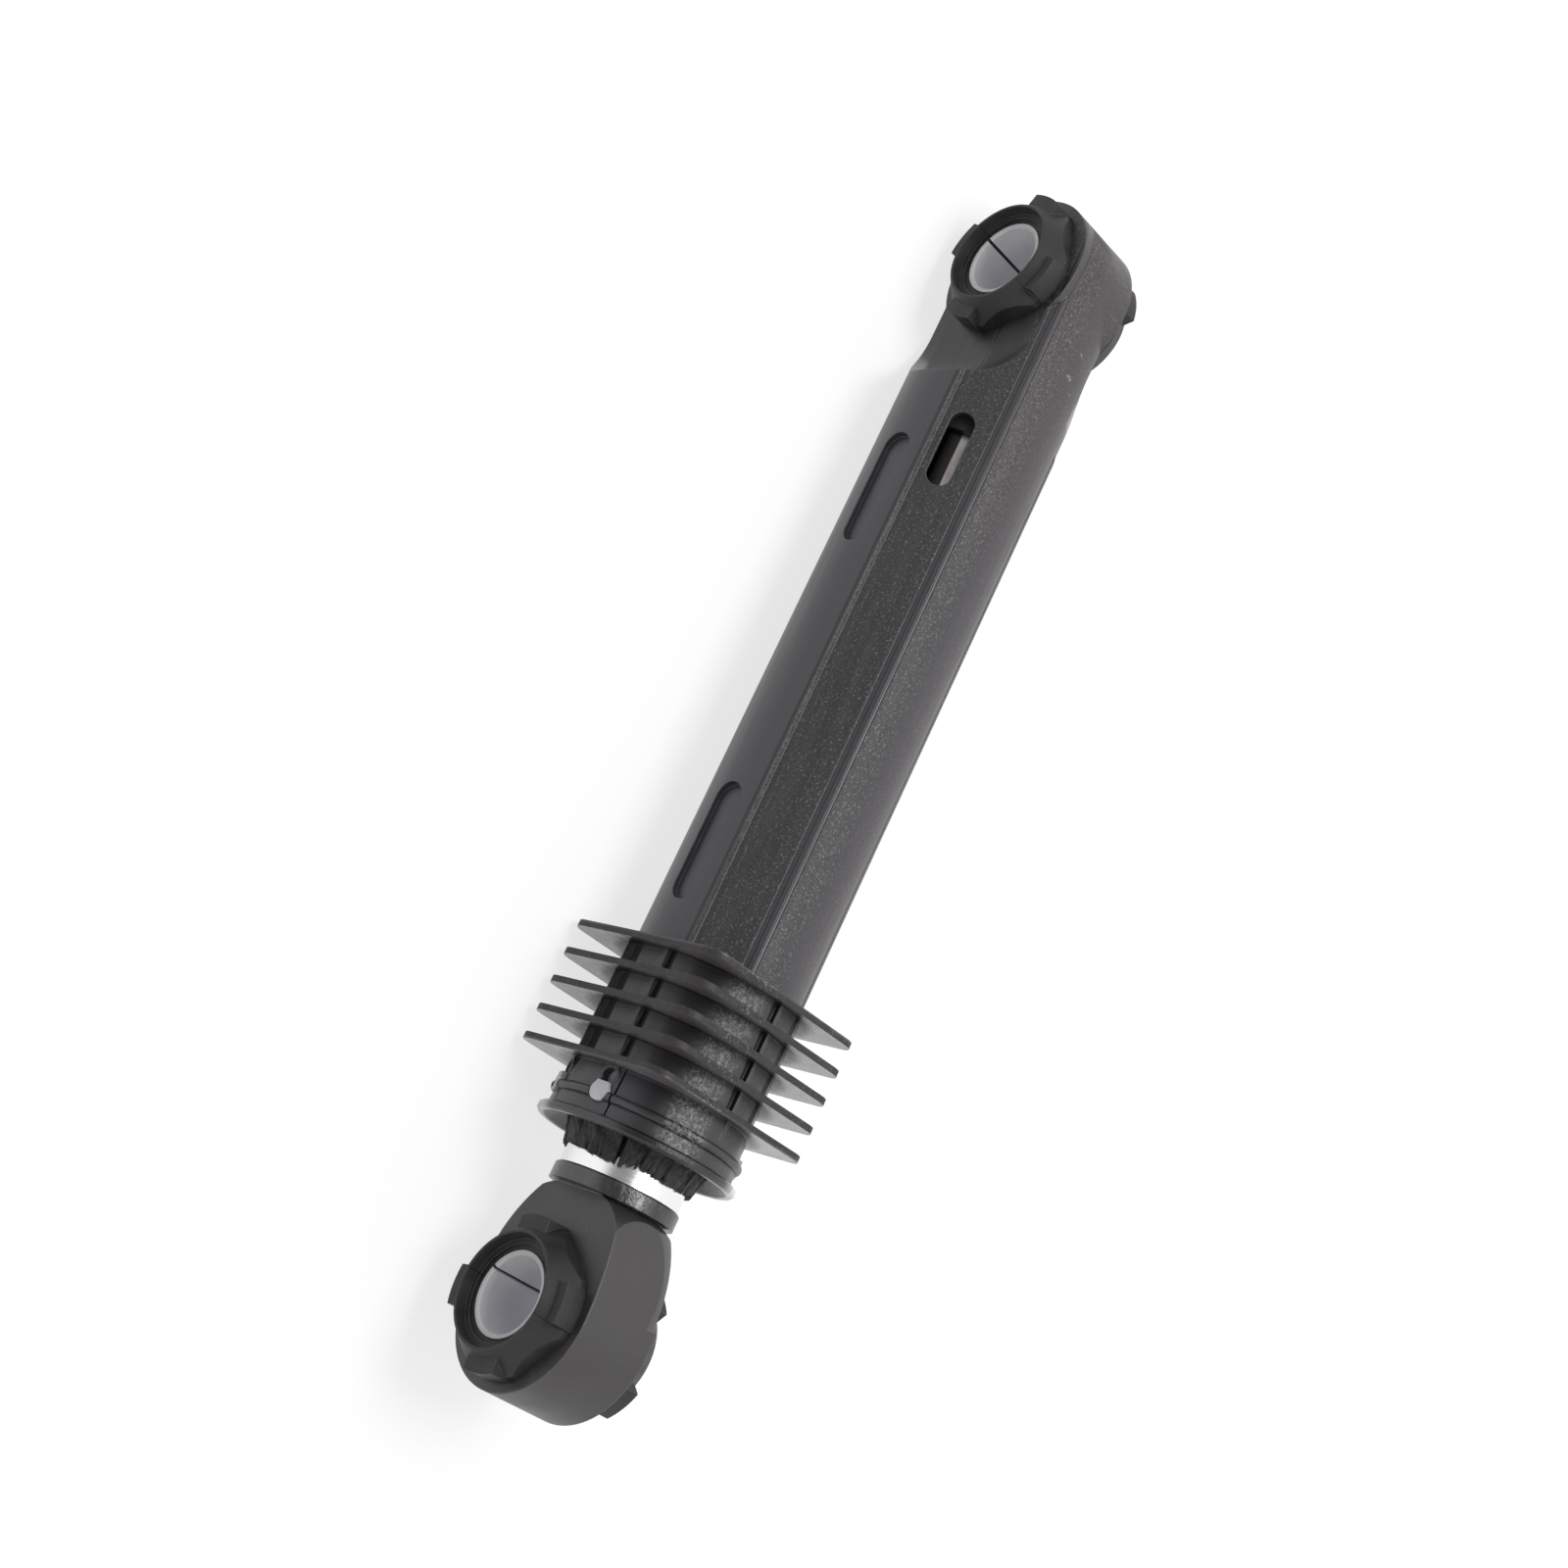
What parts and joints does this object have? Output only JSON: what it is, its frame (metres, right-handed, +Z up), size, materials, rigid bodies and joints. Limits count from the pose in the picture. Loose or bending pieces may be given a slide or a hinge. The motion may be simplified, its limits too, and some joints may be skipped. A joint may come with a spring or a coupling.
{
  "type": "washing machine shock absorber",
  "caption": "Friction damper for a washing machine tub: ribbed round housing with square cooling fins, sliding steel tube, and a rubber-bushed eye at each end.",
  "frame": {"origin": "centre of the bore in the housing eye", "axes": "+X along the tube from the housing eye to the rod eye, Y along both eye bores, +Z up when the damper lies on its fins"},
  "size_m": [0.2447, 0.0396, 0.0396],
  "materials": {
    "black_plastic": "fine grained black moulding",
    "rod_plastic": "smooth satin black moulding",
    "guide_plastic": "smooth black",
    "white_plastic": "smooth off-white",
    "rubber": "dull black",
    "felt": "dense greased felt",
    "bright_steel": "bright zinc-plated"
  },
  "bodies": {
    "housing": {"housing": "black_plastic", "housing_bush": "rubber", "housing_sleeve": "white_plastic", "friction_cage": "white_plastic", "inner_lining": "felt", "outer_lining": "felt", "mouth_guide": "guide_plastic", "bump_stop": "rubber"},
    "slider": {"guide_ring": "guide_plastic"},
    "rod": {"piston_tube": "bright_steel", "piston_plug": "black_plastic", "rod_end": "rod_plastic", "rod_bush": "rubber", "rod_sleeve": "white_plastic"}
  },
  "joints": [
    {"name": "rod_slide", "type": "slide", "parent": "housing", "child": "slider", "axis": [1, 0, 0], "range_m": [-0.0015, 0.114]},
    {"name": "rod_turn", "type": "hinge", "parent": "slider", "child": "rod", "pos_m": [0, 0, 0], "axis": [1, 0, 0], "continuous": true}
  ]
}
